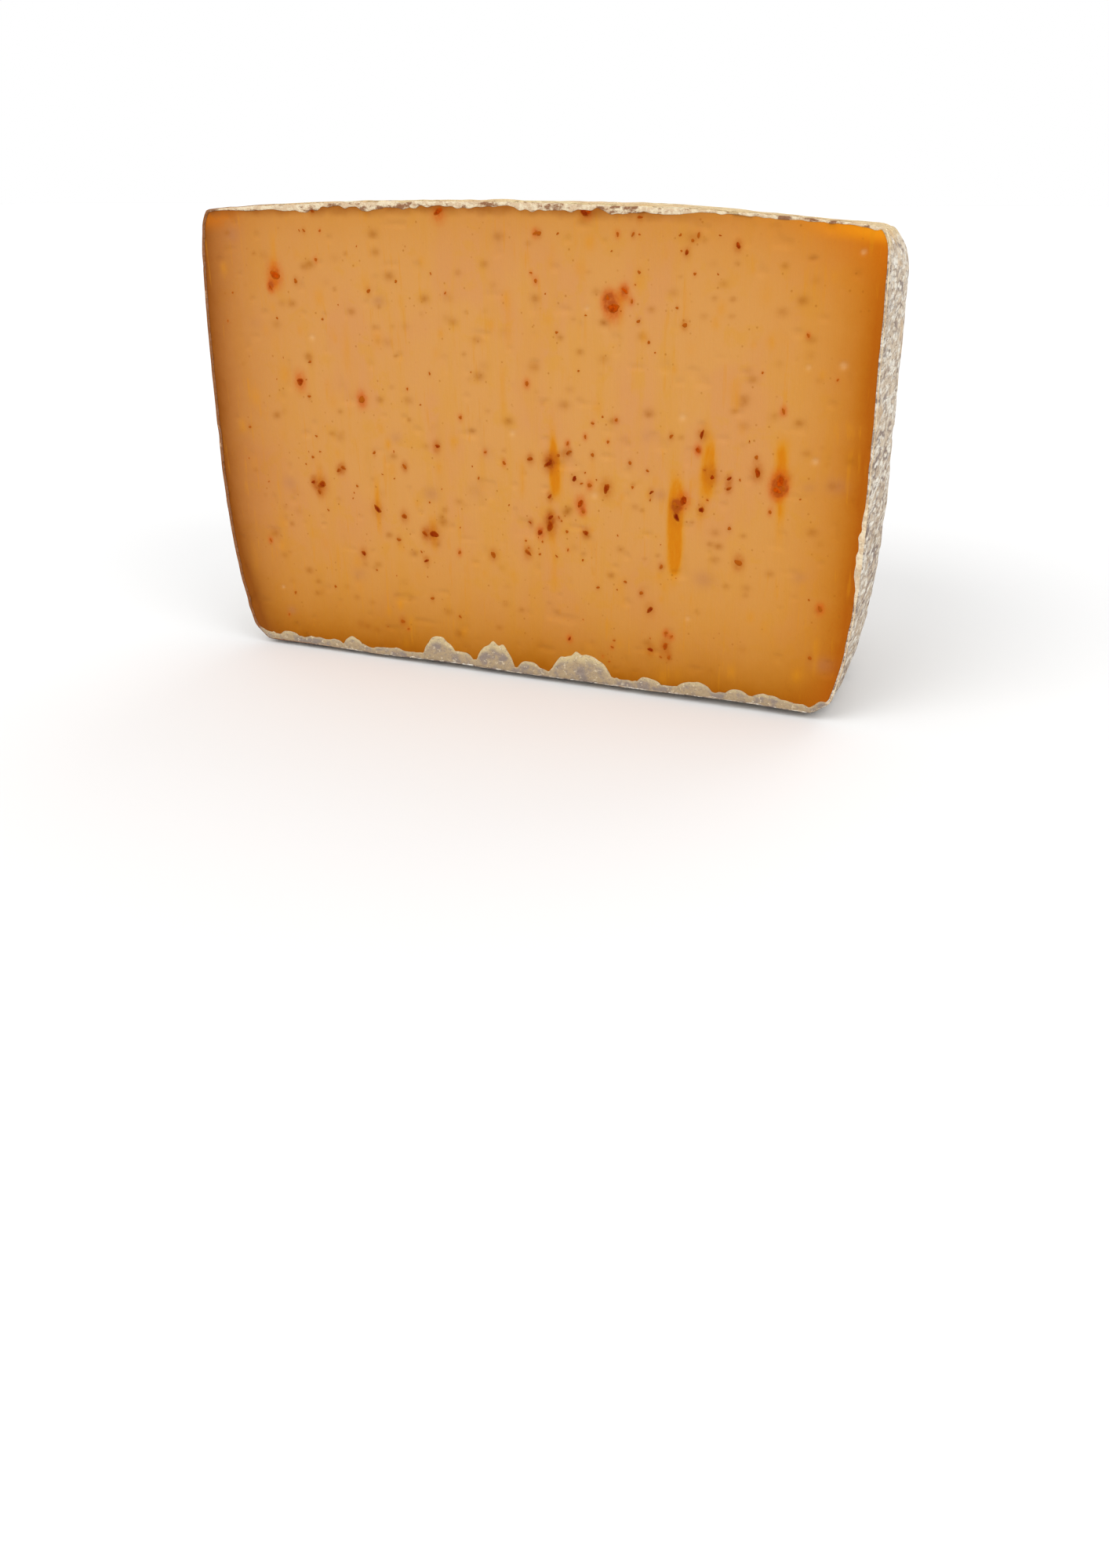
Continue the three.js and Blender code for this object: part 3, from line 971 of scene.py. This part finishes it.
def make_floor():
    """A square sheet, level with the bottom of the base."""
    reach = FLOOR_SIZE / 2
    mesh = bpy.data.meshes.new("floor")
    corners = [(-reach, -reach), (reach, -reach), (reach, reach), (-reach, reach)]
    mesh.from_pydata([(x, y, -FLOOR_DROP) for x, y in corners], [], [(0, 1, 2, 3)])
    floor = bpy.data.objects.new("floor", mesh)
    bpy.context.scene.collection.objects.link(floor)
    material, shader, place = start_finish("pale_floor")
    connect(shader, Roughness=0.86 + mottle(place, 200) * 0.06)
    shader.inputs["Base Color"].default_value = (*FLOOR_TONE, 1)
    shader.inputs["Specular IOR Level"].default_value = 0.1
    mesh.materials.append(material)


def make_lamp(name, toward, strength):
    """A broad distant light that shines from that direction, so the floor is lit evenly."""
    light = bpy.data.lights.new(name, "SUN")
    light.angle, light.energy = math.radians(LAMP_SPREAD), strength
    lamp = bpy.data.objects.new(name, light)
    lamp.rotation_euler = Vector(toward).to_track_quat("Z", "Y").to_euler()
    bpy.context.scene.collection.objects.link(lamp)


def make_camera():
    """Turned about the upright, tipped down, then tilted about its own axis of view."""
    camera = bpy.data.objects.new("camera", bpy.data.cameras.new("camera"))
    camera.data.lens = FOCAL_LENGTH
    camera.data.sensor_width = FILM_HEIGHT
    camera.data.clip_start = 0.01
    camera.matrix_world = (
        Matrix.Translation(CAMERA_PLACE)
        @ Matrix.Rotation(math.radians(CAMERA_TURN), 4, "Z")
        @ Matrix.Rotation(math.radians(90 - CAMERA_DOWN), 4, "X")
        @ Matrix.Rotation(math.radians(CAMERA_TILT), 4, "Z"))
    bpy.context.scene.collection.objects.link(camera)
    bpy.context.scene.camera = camera


make_floor()
make_lamp("key_lamp", (-0.45, -0.80, 0.95), 1.10)
make_lamp("fill_lamp", (0.90, -0.45, 0.60), 0.80)
make_lamp("back_lamp", (0.20, 0.95, 0.80), 0.45)
make_camera()
world = bpy.data.worlds.new("studio")
world.use_nodes = True
world.node_tree.nodes["Background"].inputs["Color"].default_value = (1, 1, 1, 1)
world.node_tree.nodes["Background"].inputs["Strength"].default_value = SKY_LIGHT
bpy.context.scene.world = world
bpy.context.scene.view_settings.view_transform = "Standard"
